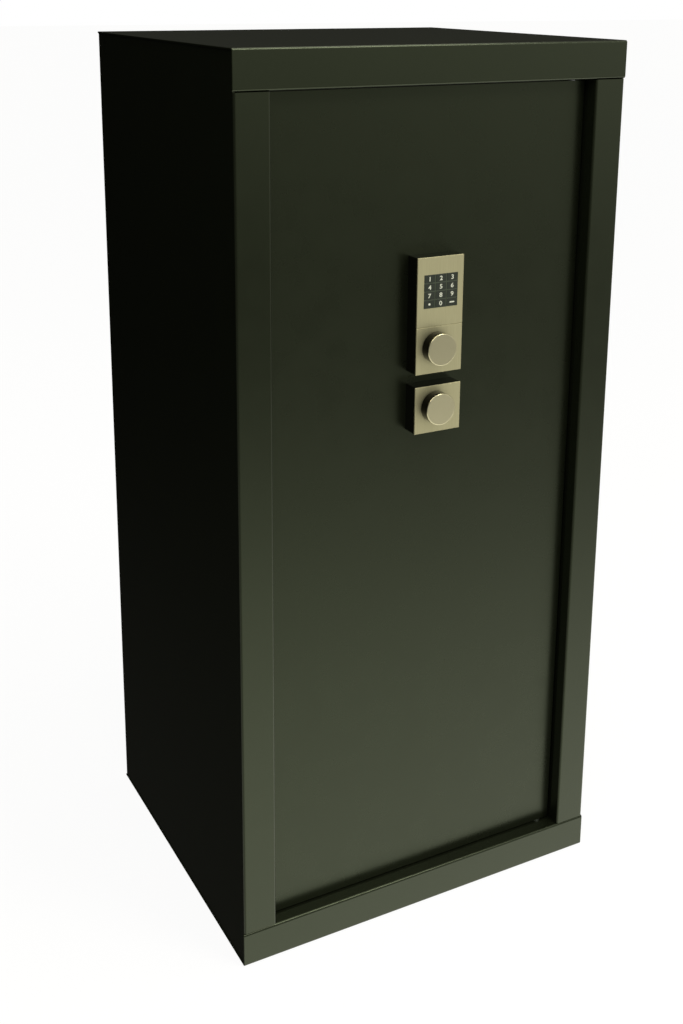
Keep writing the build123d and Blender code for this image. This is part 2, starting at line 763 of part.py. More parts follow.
pitch_x = pad_w / 3
pitch_z = pad_h / 4
cell_w = pitch_x - pad_bar
cell_h = pitch_z - pad_bar
grid_y = (unit_front + 0.3, unit_front + 3.1)
pad_centres = [
    (pad_x + (col - 1) * pitch_x, pad_z + (row - 1.5) * pitch_z) for row in range(4) for col in range(3)
]
with BuildPart() as keypad_grid:
    half_w = pad_w / 2
    half_h = pad_h / 2
    block((pad_x - half_w, pad_x + half_w), grid_y, (pad_z - half_h, pad_z + half_h))
    for x, z in pad_centres:
        cell_x = (x - cell_w / 2, x + cell_w / 2)
        block(cell_x, grid_y, (z - cell_h / 2, z + cell_h / 2), mode=Mode.SUBTRACT)
save(keypad_grid.part, "keypad_grid")

cap_w = cell_w - 2 * key_play
cap_h = cell_h - 2 * key_play
skirt = 0.22
for (x, z), name in zip(pad_centres, key_names):
    with BuildPart() as key:
        cap_y = (grid_y[0] - 0.5, grid_y[1] + 0.3)
        block((x - cap_w / 2, x + cap_w / 2), cap_y, (z - cap_h / 2, z + cap_h / 2))
        fillet(key.edges().filter_by(Axis.Y), radius=0.8)
        fillet(key.faces().sort_by(Axis.Y)[0].edges(), radius=0.3)
        skirt_x = (x - pitch_x / 2 + skirt, x + pitch_x / 2 - skirt)
        skirt_z = (z - pitch_z / 2 + skirt, z + pitch_z / 2 - skirt)
        block(skirt_x, (cap_y[1], cap_y[1] + 1.5), skirt_z)
    save(key.part, f"key_{name}")

board_x = (-35, 35)
board_z = (998, 1078)
contact_r = 3
cable_start_y = face_y - 9.5
with BuildPart() as keypad_board:
    block(board_x, board_y, board_z)
    for x, z in pad_centres:
        rod(x, (board_y[0] - 0.5, board_y[0]), z, contact_r)
    block((cable_x - 5, cable_x + 5), (board_y[1], cable_start_y), (board_z[0], board_z[0] + 10))
save(keypad_board.part, "keypad_board")

cell_r = 5.2
cell_tip_r = 1.9
cell_len = 44.5
cell_heights = [pad_z - 12, pad_z, pad_z + 12]
cells_y = face_y - 7.5
tray_x = 26
tray_h = 20
tray_wall = 1.5
with BuildPart() as battery_tray:
    block((-tray_x, tray_x), (cells_y - 3, face_y), (pad_z - tray_h, pad_z + tray_h))
    block(
        (-tray_x + tray_wall, tray_x - tray_wall),
        (cells_y - 3, face_y - 1.2),
        (pad_z - tray_h + tray_wall, pad_z + tray_h - tray_wall),
        mode=Mode.SUBTRACT,
    )
save(battery_tray.part, "battery_tray")

with BuildPart() as batteries:
    for z in cell_heights:
        rod((-cell_len / 2, cell_len / 2 - 1), cells_y, z, cell_r)
        rod((cell_len / 2 - 1, cell_len / 2), cells_y, z, cell_tip_r)
save(batteries.part, "batteries")

# The lead from the keypad board runs through the door plate and down to the solenoid.
with BuildPart() as lock_cable:
    with BuildLine() as route:
        FilletPolyline(
            (cable_x, cable_start_y, cable_z),
            (cable_x, cable_end_y, cable_z),
            (cable_x, cable_end_y, cable_end_z),
            radius=cable_bend_r,
        )
    with BuildSketch(Plane((cable_x, cable_start_y, cable_z), x_dir=(1, 0, 0), z_dir=(0, 1, 0))):
        Circle(cable_r)
    sweep(path=route.wires()[0])
save(lock_cable.part, "lock_cable")
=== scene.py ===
# %% [markdown]
# # A gun safe in enamelled sheet steel
# This lesson dresses a finished CAD model of a tall gun safe. The CAD gives every hard part its
# shape and its place, in metres, with the origin on the floor under the middle of the body, +X to
# the right of somebody who faces the door and +Y into the depth. What is left for Blender is what
# the eye reads as real: enamel, nickel, chrome, printed keys, carpet and foam, and the light that
# shows them.

# %% Load the frame
import json
import math
import bpy
import numpy as np
from mathutils import Matrix, Vector


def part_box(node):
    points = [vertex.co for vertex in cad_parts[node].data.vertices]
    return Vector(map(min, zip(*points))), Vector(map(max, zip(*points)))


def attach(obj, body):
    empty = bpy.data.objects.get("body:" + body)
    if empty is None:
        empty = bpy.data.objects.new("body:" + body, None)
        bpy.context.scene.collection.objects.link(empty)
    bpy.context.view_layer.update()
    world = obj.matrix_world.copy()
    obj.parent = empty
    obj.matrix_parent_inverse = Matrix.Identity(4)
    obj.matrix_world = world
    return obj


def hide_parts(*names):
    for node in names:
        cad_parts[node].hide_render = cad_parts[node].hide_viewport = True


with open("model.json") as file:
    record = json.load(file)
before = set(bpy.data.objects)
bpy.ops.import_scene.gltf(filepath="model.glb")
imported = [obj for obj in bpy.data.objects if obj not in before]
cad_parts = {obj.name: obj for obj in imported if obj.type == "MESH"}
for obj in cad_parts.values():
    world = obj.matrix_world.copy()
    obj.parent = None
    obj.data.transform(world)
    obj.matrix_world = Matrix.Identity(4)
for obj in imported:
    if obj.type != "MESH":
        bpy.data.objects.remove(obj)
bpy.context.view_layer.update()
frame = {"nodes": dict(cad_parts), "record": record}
nodes = frame["nodes"]

# %% [markdown]
# ## The camera
# A camera is placed first, because every choice of gloss and light is judged through it. It stands
# at eye height, a little to the left of the safe, and looks down. A lens shift slides the picture
# down the film so that upright edges stay almost parallel, as an architect's camera does. The
# matrix is built from three directions at right angles: sideways, up, and backwards.

# %% Camera
EYE = Vector((-0.9950, -1.8562, 1.4859))
LOOK_DOWN = 0.2467
TURN_RIGHT = 0.4866
ROLL = 0.0067
FILM_MM = 36
LENS_MM = 45.69
LENS_SHIFT = -0.2002


def add_object(name, data):
    """A new object that holds the data, linked to the scene."""
    thing = bpy.data.objects.new(name, data)
    bpy.context.scene.collection.objects.link(thing)
    return thing


def camera_matrix(eye, down, turn, roll):
    """Camera axes from two angles and a roll: forward is the +Y axis turned right and tipped down."""
    forward = Vector((
        math.sin(turn) * math.cos(down), math.cos(turn) * math.cos(down), -math.sin(down)))
    level = Vector((math.cos(turn), -math.sin(turn), 0))
    upright = level.cross(forward)
    side = level * math.cos(roll) + upright * math.sin(roll)
    up = upright * math.cos(roll) - level * math.sin(roll)
    return Matrix.Translation(eye) @ Matrix((side, up, -forward)).transposed().to_4x4()


camera = add_object("camera", bpy.data.cameras.new("camera"))
camera.matrix_world = camera_matrix(EYE, LOOK_DOWN, TURN_RIGHT, ROLL)
camera.data.sensor_width = FILM_MM
camera.data.lens = LENS_MM
camera.data.shift_y = LENS_SHIFT
bpy.context.scene.camera = camera
print("camera", [round(v, 3) for v in EYE], "lens", LENS_MM, "mm")

# %% [markdown]
# ## Colours, nodes and scales
# Colours are written as the sRGB hex values that a paint chart gives, and one function turns them
# into the linear numbers that a renderer needs. One more small function adds a shader node with its
# settings and its links, and hands back the output that the next node reads. Patterns read Object
# coordinates, which are metres here, so a size in millimetres becomes a scale of 1000 divided by
# it, and the height of a bump in millimetres is divided by 1000.

# %% Colour and node helpers
def colour(hex_code):
    """Linear RGBA of an sRGB hex colour: each channel through the sRGB curve."""
    channels = np.array([int(hex_code[i:i + 2], 16) for i in (1, 3, 5)]) / 255
    linear = np.where(channels <= 0.04045, channels / 12.92, ((channels + 0.055) / 1.055) ** 2.4)
    return (*linear.tolist(), 1.0)


def per_mm(size):
    """The texture scale whose features are about this many millimetres across."""
    return 1000 / size


def add_node(tree, kind, inputs=None, output=0, **settings):
    """Adds a node, sets its properties, sets or links its inputs, and returns one of its outputs."""
    node = tree.nodes.new("ShaderNode" + kind)
    for name, value in settings.items():
        setattr(node, name, value)
    for name, value in (inputs or {}).items():
        if isinstance(value, bpy.types.NodeSocket):
            tree.links.new(value, node.inputs[name])
        else:
            node.inputs[name].default_value = value
    return node.outputs[output]


print("white is", colour("#ffffff"), "and a 2 mm grain has scale", per_mm(2))

# %% Start and end of a finish
def start_finish(name, **constants):
    """A new material with a Principled shader, whose even values are set on its own sockets."""
    material = bpy.data.materials.new(name)
    material.use_nodes = True
    tree = material.node_tree
    shader = tree.nodes["Principled BSDF"]
    for socket, value in constants.items():
        shader.inputs[socket.replace("_", " ")].default_value = value
    return material, tree, shader


def link_patterns(tree, shader, **patterns):
    """Links each pattern to the shader's socket of that name."""
    for socket, pattern in patterns.items():
        tree.links.new(pattern, shader.inputs[socket.replace("_", " ")])


print("materials so far", len(bpy.data.materials))

# %% [markdown]
# ## Enamel on folded steel
# The body and the door are powder-enamelled sheet: a nearly black olive pigment under a satin skin
# that tints what it reflects. Stoved paint never flows quite flat, so it keeps an orange peel of
# about 2 mm, drawn at 7 mm here so that it shows, and thin sheet stays a little wavy between its
# folds. Both bend reflections far more than they change the colour. The two lock housings have the
# same paint in black, glossier and under more clear coat.

# %% Enamels
PAINT_IOR = 1.5
COAT_ROUGHNESS = 0.08
CLOUD_MM = 90
HAZE_MM = 40
HAZE = 0.04
SHEET_WAVE_MM = 260
SHEET_WAVE_DEEP_MM = 0.5
PEEL_MM = 7
OLIVE_SHEEN = "#ecffd2"


def enamel(name, shade, deep_shade, peel_deep_mm, sheen_shade, roughness, coat):
    """Enamel: a dark pigment with faint clouds, a tinted skin, a clear coat and a little relief."""
    material, tree, shader = start_finish(
        name, IOR=PAINT_IOR, Specular_Tint=colour(sheen_shade), Coat_Weight=coat,
        Coat_Roughness=COAT_ROUGHNESS, Coat_IOR=PAINT_IOR)
    point = add_node(tree, "TexCoord", output="Object")
    clouds, haze, waves, peel = (
        add_node(tree, "TexNoise", {"Vector": point, "Scale": per_mm(size), "Detail": detail})
        for size, detail in ((CLOUD_MM, 3.0), (HAZE_MM, 3.0), (SHEET_WAVE_MM, 1.0), (PEEL_MM, 1.0)))
    shades = add_node(
        tree, "Mix", {0: clouds, 6: colour(shade), 7: colour(deep_shade)}, 2, data_type="RGBA")
    rough = add_node(
        tree, "MapRange", {"Value": haze, "To Min": roughness - HAZE, "To Max": roughness + HAZE})
    wavy = add_node(tree, "Bump", {"Height": waves, "Distance": SHEET_WAVE_DEEP_MM / 1000})
    peeled = add_node(
        tree, "Bump", {"Height": peel, "Distance": peel_deep_mm / 1000, "Normal": wavy})
    link_patterns(
        tree, shader, Base_Color=shades, Roughness=rough, Normal=peeled, Coat_Normal=peeled)
    return material


body_enamel = enamel("olive_body_enamel", "#191d13", "#161911", 0.006, OLIVE_SHEEN, 0.22, 0.05)
door_enamel = enamel("olive_door_enamel", "#13160e", "#11130c", 0.006, OLIVE_SHEEN, 0.28, 0.0)
black_enamel = enamel("black_gloss_enamel", "#090907", "#070706", 0.004, "#fffdf2", 0.14, 0.2)
print("enamels", body_enamel.name, door_enamel.name, black_enamel.name)

# %% [markdown]
# ## Metals
# Plated and cast metals differ mostly in how their surface was worked. Nickel faceplates are
# brushed upright in strokes about 0.3 mm apart, drawn at 1.2 mm. A knob has a face turned in fine
# rings, drawn 1.2 mm apart, a bright bevel, and a chrome barrel whose colour is a painted dark
# reflection of the room. Zinc has faint spangles, a diecast case has sand-like grain, and bronze
# bushes show lathe marks. Every metal keeps the default index of refraction.

# %% Brushed metal
STROKE_SQUEEZE = 0.025
STROKE_DEEP_MM = 0.012
HANDLED_MM = 30


def brushed_metal(name, light, dark, roughness, stroke_mm, along):
    """Brushed metal: noise stretched forty times along the stroke tints it and scores it."""
    material, tree, shader = start_finish(name, Metallic=1.0, Roughness=roughness, Anisotropic=0.3)
    point = add_node(tree, "TexCoord", output="Object")
    squeeze = tuple(STROKE_SQUEEZE if axis == along else 1 for axis in "xyz")
    stroke_point = add_node(tree, "Mapping", {"Vector": point, "Scale": squeeze})
    strokes = add_node(
        tree, "TexNoise", {"Vector": stroke_point, "Scale": per_mm(stroke_mm), "Detail": 3.0})
    handled = add_node(
        tree, "TexNoise", {"Vector": point, "Scale": per_mm(HANDLED_MM), "Detail": 3.0})
    shades = add_node(
        tree, "Mix", {0: strokes, 6: colour(dark), 7: colour(light)}, 2, data_type="RGBA")
    rough = add_node(
        tree, "MapRange", {"Value": handled, "To Min": roughness - 0.05, "To Max": roughness + 0.06})
    scored = add_node(tree, "Bump", {"Height": strokes, "Distance": STROKE_DEEP_MM / 1000})
    link_patterns(tree, shader, Base_Color=shades, Roughness=rough, Normal=scored)
    return material


satin_nickel = brushed_metal("brushed_satin_nickel", "#cdc9a5", "#bab593", 0.56, 1.2, "z")
bolt_chrome = brushed_metal("hard_chromed_bolt", "#c4c5c2", "#aeb0ae", 0.16, 1.0, "x")
print("brushed", satin_nickel.name, bolt_chrome.name)

# %% [markdown]
# ### Turned chrome
# One finish covers a whole knob, and the depth behind its face says which part is which. The ring
# pattern is centred on the knob's own axis. A wave texture repeats every 2 pi metres divided by 20
# times its scale, so a scale of 262 gives a ring every 1.2 mm.

# %% Turned chrome knobs
FACE_BAND = 0.0003
BARREL_FROM = 0.0014
BARREL_FADE = 0.0004
RING_SCALE = 262.0
RING_DEEP_MM = 0.006
SMUDGE_MM = 12
FACE_ROUGH = (0.22, 0.30)
BEVEL_ROUGH = (0.045, 0.085)


def turned_chrome(name, node):
    """Nickel-bright face with turned rings, a polished bevel, a barrel painted as a dark reflection."""
    low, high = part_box(node)
    material, tree, shader = start_finish(name, Metallic=1.0)
    here = add_node(tree, "TexCoord", output="Object")
    to_axis = (-(low.x + high.x) / 2, 0, -(low.z + high.z) / 2)
    point = add_node(tree, "Mapping", {"Vector": here, "Location": to_axis})
    depth = add_node(tree, "SeparateXYZ", {"Vector": point}, "Y")
    face_end = low.y + FACE_BAND
    on_face = add_node(tree, "MapRange", {
        "Value": depth, "From Min": low.y + FACE_BAND / 2, "From Max": face_end,
        "To Min": 1.0, "To Max": 0.0})
    barrel = low.y + BARREL_FROM
    face_not_painted_barrel = add_node(tree, "MapRange", {
        "Value": depth, "From Min": barrel, "From Max": barrel + BARREL_FADE,
        "To Min": 1.0, "To Max": 0.0})
    # The barrel's near-black colour is a painted reflection of a dark room in its chrome; the face and
    # bevel are nickel-bright.
    shades = add_node(
        tree, "Mix", {0: face_not_painted_barrel, 6: colour("#100f0c"), 7: colour("#d8d2b0")}, 2,
        data_type="RGBA")
    rings = add_node(
        tree, "TexWave", {"Vector": point, "Scale": RING_SCALE, "Distortion": 0.4, "Detail": 1.0},
        wave_type="RINGS", rings_direction="Y")
    smudges = add_node(
        tree, "TexNoise", {"Vector": point, "Scale": per_mm(SMUDGE_MM), "Detail": 3.0})
    satin, gloss = (
        add_node(tree, "MapRange", {"Value": pattern, "To Min": span[0], "To Max": span[1]})
        for pattern, span in ((rings, FACE_ROUGH), (smudges, BEVEL_ROUGH)))
    rough = add_node(tree, "Mix", {0: on_face, 2: gloss, 3: satin}, data_type="FLOAT")
    face_rings = add_node(tree, "Math", {0: rings, 1: on_face}, operation="MULTIPLY")
    turned = add_node(tree, "Bump", {"Height": face_rings, "Distance": RING_DEEP_MM / 1000})
    link_patterns(tree, shader, Base_Color=shades, Roughness=rough, Normal=turned)
    return material


lock_chrome = turned_chrome("turned_chrome_lock_knob", "lock_knob")
bolt_knob_chrome = turned_chrome("turned_chrome_bolt_knob", "bolt_knob")
print("knob finishes", lock_chrome.name, bolt_knob_chrome.name)

# %% Zinc, cast aluminium, bronze and copper
def grained_metal(name, light, dark, roughness, grain_mm, depth_mm):
    """Plated or cast metal: cell-like grain tints it, and noise twice as wide roughens it."""
    material, tree, shader = start_finish(name, Metallic=1.0, Roughness=roughness)
    point = add_node(tree, "TexCoord", output="Object")
    grain = add_node(tree, "TexVoronoi", {"Vector": point, "Scale": per_mm(grain_mm)}, "Distance")
    dull = add_node(
        tree, "TexNoise", {"Vector": point, "Scale": per_mm(2 * grain_mm), "Detail": 3.0})
    shades = add_node(
        tree, "Mix", {0: grain, 6: colour(dark), 7: colour(light)}, 2, data_type="RGBA")
    rough = add_node(
        tree, "MapRange", {"Value": dull, "To Min": roughness - 0.07, "To Max": roughness + 0.08})
    grainy = add_node(tree, "Bump", {"Height": grain, "Distance": depth_mm / 1000})
    link_patterns(tree, shader, Base_Color=shades, Roughness=rough, Normal=grainy)
    return material


zinc_plate = grained_metal("bright_zinc_plate", "#b4b8b9", "#989c9e", 0.30, 4, 0.01)
cast_case = grained_metal("diecast_aluminium", "#9a9c9b", "#7f8180", 0.48, 1.5, 0.05)
bush_bronze = grained_metal("turned_bronze", "#a98048", "#8d683a", 0.30, 1.2, 0.008)
coil_wire = grained_metal("lacquered_copper_wire", "#8b4526", "#6a2f18", 0.35, 1.0, 0.15)
print("grained metals", [m.name for m in (zinc_plate, cast_case, bush_bronze, coil_wire)])

# %% [markdown]
# ## Plastics, rubber and print
# The keys are moulded in a grey-green ABS with the fine spark texture of the mould, and the grid
# between them is a lighter shade of the same plastic. Digits are a pale pad print. The door seal
# and the cable's sleeve are carbon-black rubber.

# %% Moulded and printed finishes
FLOW_MM = 25


def moulded(name, light, dark, roughness, texture_mm, depth_mm, **constants):
    """Moulded plastic or rubber: faint flow clouds, and a fine mould texture that varies the gloss."""
    material, tree, shader = start_finish(name, Roughness=roughness, **constants)
    point = add_node(tree, "TexCoord", output="Object")
    flow, texture = (
        add_node(tree, "TexNoise", {"Vector": point, "Scale": per_mm(size), "Detail": detail})
        for size, detail in ((FLOW_MM, 3.0), (texture_mm, 2.0)))
    shades = add_node(
        tree, "Mix", {0: flow, 6: colour(dark), 7: colour(light)}, 2, data_type="RGBA")
    rough = add_node(
        tree, "MapRange", {"Value": texture, "To Min": roughness - 0.06, "To Max": roughness + 0.06})
    fine = add_node(tree, "Bump", {"Height": texture, "Distance": depth_mm / 1000})
    link_patterns(tree, shader, Base_Color=shades, Roughness=rough, Normal=fine)
    return material


key_abs = moulded("moulded_abs_keys", "#272f24", "#20271e", 0.34, 0.8, 0.01, IOR=1.53)
grid_abs = moulded("moulded_abs_grid", "#525e4a", "#48533f", 0.38, 0.8, 0.01, IOR=1.53)
pad_print = moulded("pale_pad_print", "#dfe3d3", "#d2d6c6", 0.45, 0.6, 0.004, IOR=1.5)
black_rubber = moulded("carbon_black_rubber", "#161616", "#0f0f0f", 0.62, 1.0, 0.03, IOR=1.52)
green_board = moulded("solder_masked_board", "#0f4a26", "#0b3a1d", 0.28, 1.5, 0.03, IOR=1.5)
cell_wrap = moulded("printed_cell_wrap", "#a2762c", "#8e6625", 0.22, 3.0, 0.004, IOR=1.5)
print("plastics", key_abs.name, grid_abs.name, pad_print.name, black_rubber.name)

# %% [markdown]
# ## Needle-felt carpet and foam
# Gun safes are lined with grey needle-felt so that stocks aren't scratched. Its fibres are far too
# fine to draw, so they are drawn as 1.5 mm tufts, with sheen on the shader for the soft edge glow
# of cloth. The barrel rest is closed-cell foam, with cells of about a millimetre, drawn at 2 mm.

# %% Felt and foam
WEAR_MM = 60
WEAR_CONTRAST = 2.0


def soft_finish(name, light, dark, tuft_mm, depth_mm, sheen):
    """Felt or foam: cell noise for tufts, clouds for wear and traffic, no gloss, some sheen."""
    material, tree, shader = start_finish(
        name, Roughness=0.95, Sheen_Weight=sheen, Sheen_Roughness=0.5, Specular_IOR_Level=0.2)
    point = add_node(tree, "TexCoord", output="Object")
    tufts = add_node(tree, "TexVoronoi", {"Vector": point, "Scale": per_mm(tuft_mm)}, "Distance")
    wear, fibres = (
        add_node(tree, "TexNoise", {"Vector": point, "Scale": per_mm(size), "Detail": 3.0})
        for size in (WEAR_MM, tuft_mm / 2))
    speckle = add_node(tree, "Math", {0: tufts, 1: wear}, operation="MULTIPLY")
    strong = add_node(
        tree, "Math", {0: speckle, 1: WEAR_CONTRAST}, operation="MULTIPLY", use_clamp=True)
    shades = add_node(
        tree, "Mix", {0: strong, 6: colour(dark), 7: colour(light)}, 2, data_type="RGBA")
    fibrous = add_node(tree, "Bump", {"Height": fibres, "Distance": depth_mm / 2 / 1000})
    tufted = add_node(
        tree, "Bump", {"Height": tufts, "Distance": depth_mm / 1000, "Normal": fibrous})
    link_patterns(tree, shader, Base_Color=shades, Normal=tufted)
    return material


grey_felt = soft_finish("grey_needle_felt", "#7b7c80", "#56575b", 1.5, 0.5, 0.35)
black_foam = soft_finish("closed_cell_foam", "#3a3a3d", "#262628", 2.0, 0.25, 0.1)
print("soft finishes", grey_felt.name, black_foam.name)

# %% [markdown]
# ## Finishes onto the CAD nodes
# The record names a material slot for each node, so a table from slot to finish dresses all of
# them. The two knobs have a finish each, because the turned rings need their own centre.

# %% Dress the nodes
finish_of_slot = {
    "body_paint": body_enamel, "door_paint": door_enamel, "housing_paint": black_enamel,
    "satin_nickel": satin_nickel, "knob_chrome": lock_chrome, "bolt_steel": bolt_chrome,
    "zinc_steel": zinc_plate, "lock_body": cast_case, "bronze": bush_bronze, "coil": coil_wire,
    "seal_rubber": black_rubber, "carpet": grey_felt, "foam": black_foam, "key_plastic": key_abs,
    "grid_plastic": grid_abs, "board": green_board, "battery": cell_wrap,
}
for part in frame["record"]["subparts"]:
    for slot in nodes[part["node"]].material_slots:
        slot.material = finish_of_slot[part["material_slot"]]
nodes["bolt_knob"].material_slots[0].material = bolt_knob_chrome

# %% [markdown]
# ## Surfaces from numpy
# New pieces are grids of points worked out as whole arrays. A grid needs the same few things each
# time: quads that join neighbouring points, a mesh, a finish and the body it moves with.
# The next cells hold them, and turn a skin the right way out by the sign of the volume that it
# encloses.

# %% Faces of a surface
def grid_quads(rows, columns, closed=False):
    """Quads between neighbours of a rows by columns grid; closed joins the last column to the first."""
    index = np.arange(rows * columns).reshape(rows, columns)
    if closed:
        index = np.column_stack([index, index[:, 0]])
    corners = (index[:-1, :-1], index[:-1, 1:], index[1:, 1:], index[1:, :-1])
    return np.stack(corners, axis=-1).reshape(-1, 4)


def skin(points, columns):
    """Faces of a closed skin over rings of points: quads between rings, and a flat cap on each end."""
    rows = len(points) // columns
    quads = grid_quads(rows, columns, closed=True)
    a, b, c, d = (points[quads[:, i]] - points.mean(0) for i in range(4))
    volume = (np.cross(a, b) * c).sum() + (np.cross(a, c) * d).sum()
    ring = np.arange(columns)
    faces = [*quads.tolist(), ring[::-1].tolist(), (ring + (rows - 1) * columns).tolist()]
    return faces if volume > 0 else [face[::-1] for face in faces]


def full_turn(steps):
    """Angles evenly round a circle, without the last, which is the first again."""
    return np.linspace(0, 2 * math.pi, steps, endpoint=False)


def superellipse(steps, power):
    """Cosine and sine of a turn, each raised to 2 / power: power 2 is a circle, a high one a square."""
    turn = full_turn(steps)
    return [np.sign(wave) * abs(wave) ** (2 / power) for wave in (np.cos(turn), np.sin(turn))]


print("a 3 by 4 grid has", len(grid_quads(3, 4)), "quads")

# %% Pieces
def riding_piece(name, mesh, body):
    """Puts a mesh in the scene, and says what it rides on."""
    piece = add_object(name, mesh)
    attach(piece, body)
    return piece


def add_piece(name, points, faces, finish, body, smooth=True, stands_for=()):
    """Makes the mesh, gives it its finish, puts it on its body, and hides the nodes it stands for."""
    mesh = bpy.data.meshes.new(name)
    mesh.from_pydata(points.tolist(), [], faces)
    mesh.polygons.foreach_set("use_smooth", np.full(len(faces), smooth))
    mesh.materials.append(finish)
    piece = riding_piece(name, mesh, body)
    if stands_for:
        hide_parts(*stands_for)
    print(name, len(points), "points", len(faces), "faces on", body)
    return piece


def finish_edges(piece, width, segments=2):
    """A live bevel on the sharp edges, and normals that stay flat beside it."""
    bevel = piece.modifiers.new("edges", "BEVEL")
    bevel.width = width
    bevel.segments = segments
    bevel.limit_method = "ANGLE"
    bevel.angle_limit = math.radians(40)
    bevel.harden_normals = True


# %% [markdown]
# ## Printed keys
# Each key carries one printed digit, and the two keys beside the nought carry a dot and a bar
# instead of words. Print stands a tenth of a millimetre proud. A digit is a text curve made into a
# mesh while it still lies flat, and then carried to its key. The dot and the bar are a superellipse
# outline given the same thickness.

# %% Digits
PRINT_T = 0.0001
DIGIT_H = 0.0068
DIGIT_WIDEN = 1.15
TEXT_DEEP = 0.01
TEXT_FATTEN = 0.018


def on_key(key, flat):
    """Carries flat print, drawn in x and y round its middle, to the middle of the key's front."""
    low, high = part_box("key_" + key)
    x, y, z = flat.T
    front = np.full(len(x), low.y - PRINT_T / 2)
    return np.column_stack([(low.x + high.x) / 2 + x, front - z, (low.z + high.z) / 2 + y])


def digit_mesh(text):
    """A digit's mesh, and its points centred, DIGIT_H tall and PRINT_T thick."""
    curve = bpy.data.curves.new("digit", "FONT")
    curve.body = text
    curve.extrude = TEXT_DEEP
    curve.offset = TEXT_FATTEN
    source = bpy.data.objects.new("digit", curve)
    mesh = bpy.data.meshes.new_from_object(source)
    points = np.empty(len(mesh.vertices) * 3)
    mesh.vertices.foreach_get("co", points)
    points = points.reshape(-1, 3)
    low, high = points.min(0), points.max(0)
    points = (points - (low + high) / 2) * (DIGIT_H / (high[1] - low[1]))
    points[:, 0] *= DIGIT_WIDEN
    points[:, 2] *= PRINT_T / (points[:, 2].max() - points[:, 2].min())
    bpy.data.objects.remove(source)
    return mesh, points


def print_digit(key):
    """A printed digit as a piece of its own, which presses in with its key."""
    mesh, points = digit_mesh(key)
    mesh.name = "print_" + key
    mesh.vertices.foreach_set("co", on_key(key, points).ravel())
    mesh.materials.clear()
    mesh.materials.append(pad_print)
    riding_piece("print_" + key, mesh, "keypad_key_" + key)
    return len(mesh.polygons)


print("digit faces", [print_digit(key) for key in "0123456789"])

# %% Dot and bar
PRINT_STEPS = 48


def rounded_print(key, width, height, power):
    """A flat pill: a superellipse of the given width and height, as two faces joined by a rim."""
    x, y = superellipse(PRINT_STEPS, power)
    lift = np.repeat([PRINT_T / 2, -PRINT_T / 2], PRINT_STEPS)
    flat = np.column_stack([np.tile(width / 2 * x, 2), np.tile(height / 2 * y, 2), lift])
    points = on_key(key, flat)
    add_piece(
        "print_" + key, points, skin(points, PRINT_STEPS), pad_print, "keypad_key_" + key,
        smooth=False)


rounded_print("clear", width=0.0036, height=0.0036, power=2)
rounded_print("enter", width=0.0085, height=0.0022, power=5)

# %% [markdown]
# ## Turned knobs
# A knob is turned on a lathe, so its surface is one profile carried round an axis. The profile runs
# from the flat face over a small rounded bevel, down the barrel, and in to the hub that reaches
# through the faceplate. The CAD knob is cut from flats, and this one is as round as polished chrome
# needs. Short steps beside each edge keep the flats flat when the surface is shaded smooth.

# %% Knobs
KNOB_STEPS = 160
BEVEL_W = 0.0013
BACK_ROUND = BEVEL_W * 0.7
ROUND_STEPS = 9
HUB_R = 0.0098
CENTRE_R = 0.0006
EDGE_STEP = 0.0003
BARREL_STEP = 0.003
PLATE_GAP = 0.0004
KNOB_SHARP = 35


def knob_profile(radius, front, barrel_end, hub_end):
    """Radius and y down the knob: face, a quarter-round bevel, barrel, a small back round, and hub."""
    quarter = np.linspace(0, math.pi / 2, ROUND_STEPS)
    face_r = [CENTRE_R, 0.35 * radius, 0.7 * radius, radius - BEVEL_W - EDGE_STEP]
    bevel_r = radius - BEVEL_W + BEVEL_W * np.sin(quarter)
    bevel_y = front + BEVEL_W - BEVEL_W * np.cos(quarter)
    foot_r = radius - BACK_ROUND + BACK_ROUND * np.cos(quarter)
    foot_y = barrel_end - BACK_ROUND + BACK_ROUND * np.sin(quarter)
    hub_r = [HUB_R + EDGE_STEP, HUB_R, HUB_R, CENTRE_R]
    hub_y = [barrel_end, barrel_end + EDGE_STEP, hub_end, hub_end]
    barrel_y = [front + BARREL_STEP, barrel_end - BARREL_STEP]
    r = np.concatenate([face_r, bevel_r, [radius, radius], foot_r, hub_r])
    y = np.concatenate([[front] * len(face_r), bevel_y, barrel_y, foot_y, hub_y])
    return r, y


def turned_knob(name, node, body, finish):
    """The profile carried round the knob's axis: x and z are the radius times cosine and sine."""
    low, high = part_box(node)
    plate_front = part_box("bolt_faceplate")[0].y
    r, y = knob_profile((high.x - low.x) / 2, low.y, plate_front - PLATE_GAP, high.y)
    turn = full_turn(KNOB_STEPS)
    points = np.column_stack([
        (low.x + high.x) / 2 + np.outer(r, np.cos(turn)).ravel(),
        np.repeat(y, KNOB_STEPS),
        (low.z + high.z) / 2 + np.outer(r, np.sin(turn)).ravel()])
    faces = skin(points, KNOB_STEPS)
    knob = add_piece(name, points, faces, finish, body, stands_for=[node])
    knob.data.set_sharp_from_angle(angle=math.radians(KNOB_SHARP))


turned_knob("turned_lock_knob", "lock_knob", "lock_handle", lock_chrome)
turned_knob("turned_bolt_knob", "bolt_knob", "bolt_handle", bolt_knob_chrome)

# %% [markdown]
# ## Carpeted boards
# The lining is felt glued to thin boards, which lean flat against the steel. Each board is a grid
# over its face, sunk by up to 0.6 mm of slow waves where the glue holds unevenly. Round holes are
# left over the anchor points: the quads inside a hole are dropped, and the points on its edge are
# pulled out to the circle. A Solidify modifier gives the board its thickness.

# %% Felt board
FELT_T = 0.006
FELT_CELL = 0.008
FELT_WAVE = 0.0003
FLAT_EDGE = 0.03
FELT_EDGE = 0.0012
HOLE_R = 0.020


def felt_waves(x, y):
    """From -2 to 0: a sine across, swayed by a slower sine, times a cosine up the board, less 1."""
    return np.sin(23 * x + 2 * np.sin(9 * y)) * np.cos(17 * y) - 1


